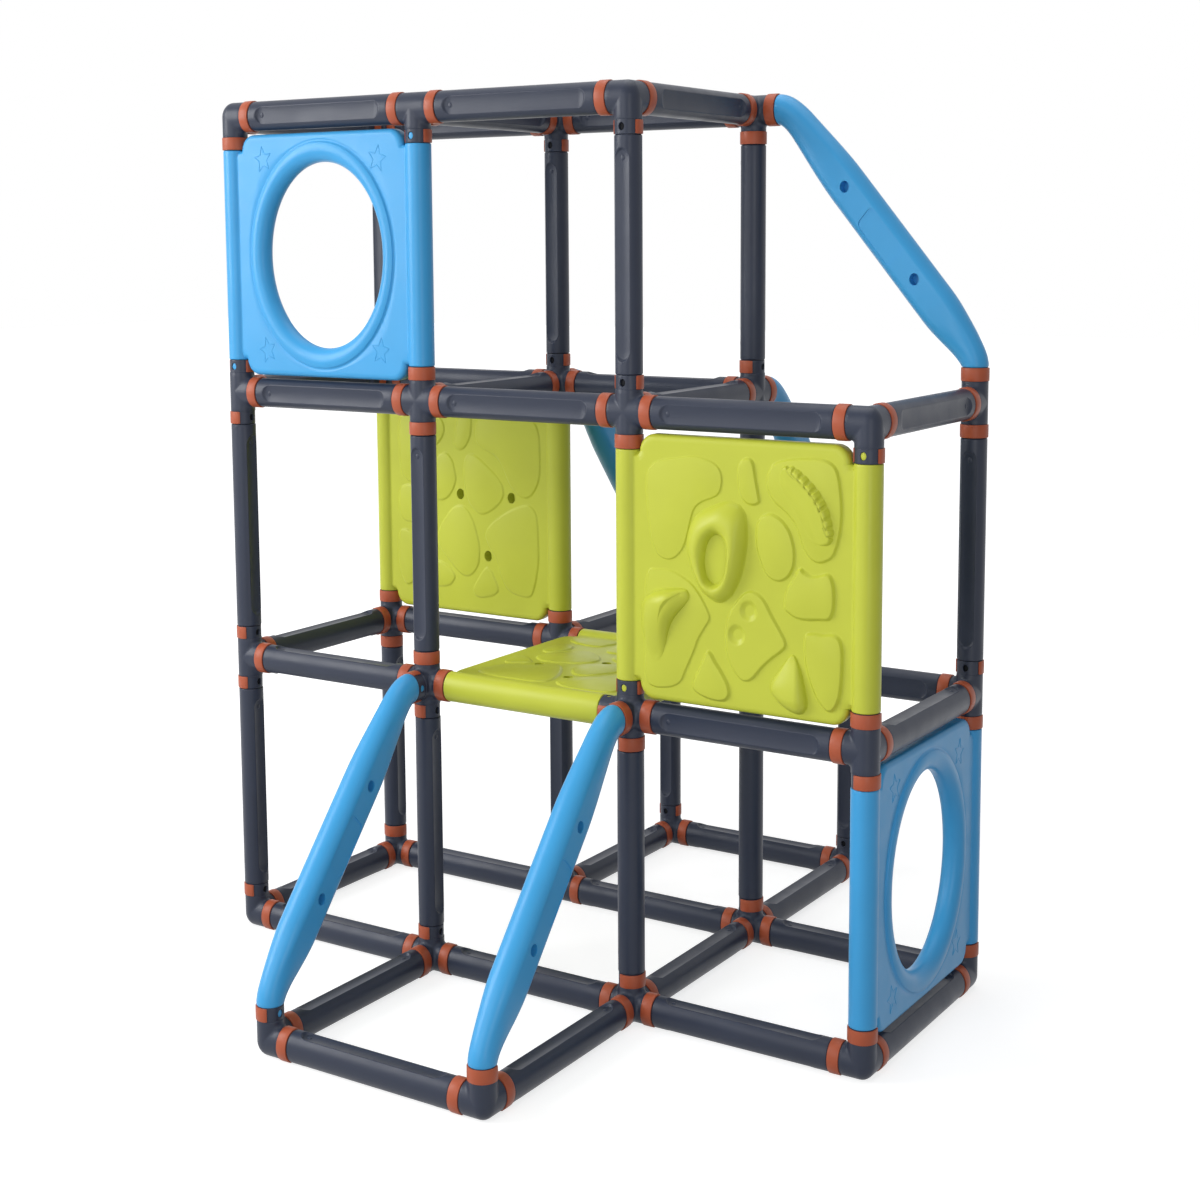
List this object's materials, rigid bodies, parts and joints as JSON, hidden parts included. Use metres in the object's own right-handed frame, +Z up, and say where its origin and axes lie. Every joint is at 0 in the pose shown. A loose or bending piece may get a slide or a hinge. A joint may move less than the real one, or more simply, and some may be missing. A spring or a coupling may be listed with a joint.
{
  "type": "modular climbing frame",
  "caption": "Free-standing modular climbing frame of dark moulded tubes and connectors, with blue crawl-through panels, green climbing panels and blue curved braces.",
  "frame": {"origin": "on the ground under the middle of the frame's footprint", "axes": "+Z up; +X along the long main row, to the right as seen from the front; +Y to the rear"},
  "size_m": [1.2474, 1.2474, 1.4693],
  "materials": {
    "frame_plastic": "satin moulded",
    "blue_plastic": "smooth moulded",
    "green_plastic": "smooth moulded",
    "clip_plastic": "satin moulded"
  },
  "bodies": {
    "root": {"brace_front_left": "blue_plastic", "brace_front_right": "blue_plastic", "brace_rear_left": "blue_plastic", "brace_rear_right": "blue_plastic", "brace_top_right": "blue_plastic", "climb_panel_floor": "green_plastic", "climb_panel_front": "green_plastic", "climb_panel_rear": "green_plastic", "crawl_panel_lower": "blue_plastic", "crawl_panel_upper": "blue_plastic", "cross_l0_a12": "frame_plastic", "cross_l0_b01": "frame_plastic", "cross_l0_b23": "frame_plastic", "cross_l0_c01": "frame_plastic", "cross_l0_c12": "frame_plastic", "cross_l0_c23": "frame_plastic", "cross_l0_d12": "frame_plastic", "cross_l1_a12": "frame_plastic", "cross_l1_b23": "frame_plastic", "cross_l1_c23": "frame_plastic", "cross_l1_d12": "frame_plastic", "cross_l2_a12": "frame_plastic", "cross_l2_b12": "frame_plastic", "cross_l2_c12": "frame_plastic", "cross_l2_d12": "frame_plastic", "cross_l3_a12": "frame_plastic", "cross_l3_b12": "frame_plastic", "cross_l3_c12": "frame_plastic", "post_l0_a1": "frame_plastic", "post_l0_a2": "frame_plastic", "post_l0_b1": "frame_plastic", "post_l0_b2": "frame_plastic", "post_l0_b3": "frame_plastic", "post_l0_c1": "frame_plastic", "post_l0_c2": "frame_plastic", "post_l0_c3": "frame_plastic", "post_l1_a1": "frame_plastic", "post_l1_b1": "frame_plastic", "post_l1_c2": "frame_plastic", "post_l1_d2": "frame_plastic", "post_l2_a2": "frame_plastic", "post_l2_b2": "frame_plastic", "post_l2_c1": "frame_plastic", "post_l2_c2": "frame_plastic", "rail_l0_row0_bc": "frame_plastic", "rail_l0_row1_ad": "frame_plastic", "rail_l0_row2_ad": "frame_plastic", "rail_l0_row3_bc": "frame_plastic", "rail_l1_row1_ab": "frame_plastic", "rail_l1_row1_cd": "frame_plastic", "rail_l1_row2_ab": "frame_plastic", "rail_l1_row2_cd": "frame_plastic", "rail_l1_row3_bc": "frame_plastic", "rail_l2_row1_ad": "frame_plastic", "rail_l2_row2_ac": "frame_plastic", "rail_l2_row2_dd": "frame_plastic", "rail_l3_row1_ac": "frame_plastic", "rail_l3_row2_ac": "frame_plastic"}
  },
  "joints": []
}
